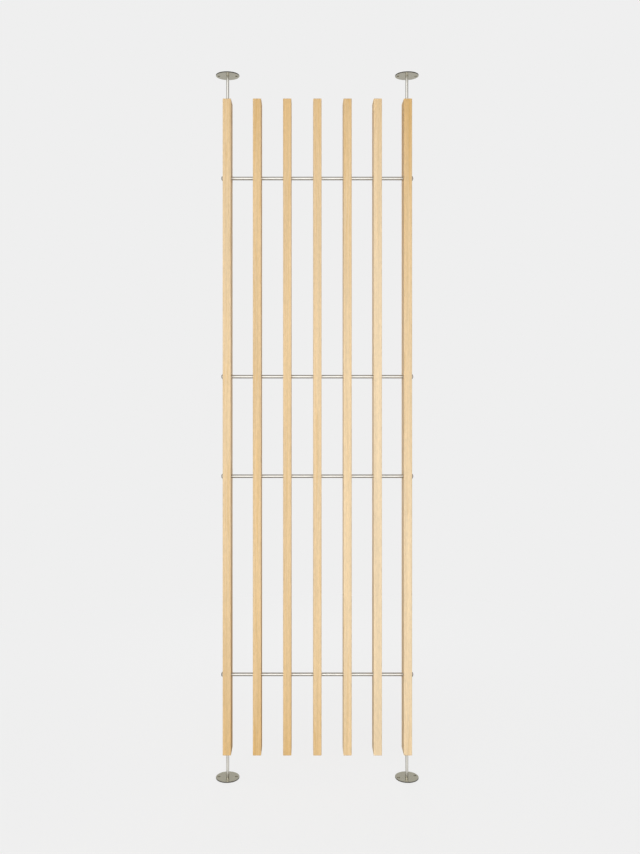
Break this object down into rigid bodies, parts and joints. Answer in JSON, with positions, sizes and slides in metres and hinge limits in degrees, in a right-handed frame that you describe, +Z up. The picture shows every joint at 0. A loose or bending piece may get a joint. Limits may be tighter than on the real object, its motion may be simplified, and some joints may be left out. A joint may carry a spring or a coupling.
{
  "type": "rotating slat room divider",
  "caption": "Floor-to-ceiling room divider of upright timber slats that turn on hidden steel axles, tied by steel rods and held by posts with round screw-down plates.",
  "frame": {"origin": "on the floor, under the middle of the row of slats", "axes": "+Z up, +X to the right and +Y to the back, seen from the side that the picture shows; the row of slats runs along X"},
  "size_m": [0.692, 0.08, 2.4],
  "materials": {
    "timber": "clear satin lacquer",
    "polished_steel": "polished",
    "plate_steel": "satin",
    "nylon": "natural"
  },
  "bodies": {
    "frame": {"top_rod": "polished_steel", "upper_rod": "polished_steel", "lower_rod": "polished_steel", "bottom_rod": "polished_steel", "axle_1": "polished_steel", "axle_2": "polished_steel", "axle_3": "polished_steel", "axle_4": "polished_steel", "axle_5": "polished_steel", "axle_6": "polished_steel", "axle_7": "polished_steel", "top_left_cap": "polished_steel", "upper_left_cap": "polished_steel", "lower_left_cap": "polished_steel", "bottom_left_cap": "polished_steel", "top_right_cap": "polished_steel", "upper_right_cap": "polished_steel", "lower_right_cap": "polished_steel", "bottom_right_cap": "polished_steel", "bottom_left_post": "polished_steel", "bottom_right_post": "polished_steel", "bottom_left_plate_screw": "polished_steel", "bottom_right_plate_screw": "polished_steel"},
    "slat_1": {"slat_1": "timber", "post_sleeves_1": "nylon"},
    "slat_2": {"slat_2": "timber", "pivot_cups_2": "nylon"},
    "slat_3": {"slat_3": "timber", "pivot_cups_3": "nylon"},
    "slat_4": {"slat_4": "timber", "pivot_cups_4": "nylon"},
    "slat_5": {"slat_5": "timber", "pivot_cups_5": "nylon"},
    "slat_6": {"slat_6": "timber", "pivot_cups_6": "nylon"},
    "slat_7": {"slat_7": "timber", "post_sleeves_7": "nylon"},
    "top_left_post": {"top_left_post": "polished_steel", "top_left_plate_screw": "polished_steel"},
    "top_right_post": {"top_right_post": "polished_steel", "top_right_plate_screw": "polished_steel"},
    "top_left_plate": {"top_left_plate": "plate_steel"},
    "top_right_plate": {"top_right_plate": "plate_steel"},
    "bottom_left_plate": {"bottom_left_plate": "plate_steel"},
    "bottom_right_plate": {"bottom_right_plate": "plate_steel"}
  },
  "joints": [
    {"name": "slat_1_turn", "type": "hinge", "parent": "frame", "child": "slat_1", "pos_m": [-0.306, 0, 1.2], "axis": [0, 0, 1], "range_deg": [-20, 20]},
    {"name": "slat_2_turn", "type": "hinge", "parent": "frame", "child": "slat_2", "pos_m": [-0.204, 0, 1.2], "axis": [0, 0, 1], "range_deg": [-20, 20]},
    {"name": "slat_3_turn", "type": "hinge", "parent": "frame", "child": "slat_3", "pos_m": [-0.102, 0, 1.2], "axis": [0, 0, 1], "range_deg": [-20, 20]},
    {"name": "slat_4_turn", "type": "hinge", "parent": "frame", "child": "slat_4", "pos_m": [0, 0, 1.2], "axis": [0, 0, 1], "range_deg": [-20, 20]},
    {"name": "slat_5_turn", "type": "hinge", "parent": "frame", "child": "slat_5", "pos_m": [0.102, 0, 1.2], "axis": [0, 0, 1], "range_deg": [-20, 20]},
    {"name": "slat_6_turn", "type": "hinge", "parent": "frame", "child": "slat_6", "pos_m": [0.204, 0, 1.2], "axis": [0, 0, 1], "range_deg": [-20, 20]},
    {"name": "slat_7_turn", "type": "hinge", "parent": "frame", "child": "slat_7", "pos_m": [0.306, 0, 1.2], "axis": [0, 0, 1], "range_deg": [-20, 20]},
    {"name": "top_left_height", "type": "slide", "parent": "frame", "child": "top_left_post", "axis": [0, 0, 1], "range_m": [-0.01, 0.02]},
    {"name": "top_right_height", "type": "slide", "parent": "frame", "child": "top_right_post", "axis": [0, 0, 1], "range_m": [-0.01, 0.02]},
    {"name": "bottom_left_plate_turn", "type": "hinge", "parent": "frame", "child": "bottom_left_plate", "pos_m": [-0.306, 0, 0], "axis": [0, 0, 1], "continuous": true},
    {"name": "bottom_right_plate_turn", "type": "hinge", "parent": "frame", "child": "bottom_right_plate", "pos_m": [0.306, 0, 0], "axis": [0, 0, 1], "continuous": true},
    {"name": "top_left_plate_turn", "type": "hinge", "parent": "top_left_post", "child": "top_left_plate", "pos_m": [-0.306, 0, 2.4], "axis": [0, 0, 1], "continuous": true},
    {"name": "top_right_plate_turn", "type": "hinge", "parent": "top_right_post", "child": "top_right_plate", "pos_m": [0.306, 0, 2.4], "axis": [0, 0, 1], "continuous": true}
  ]
}
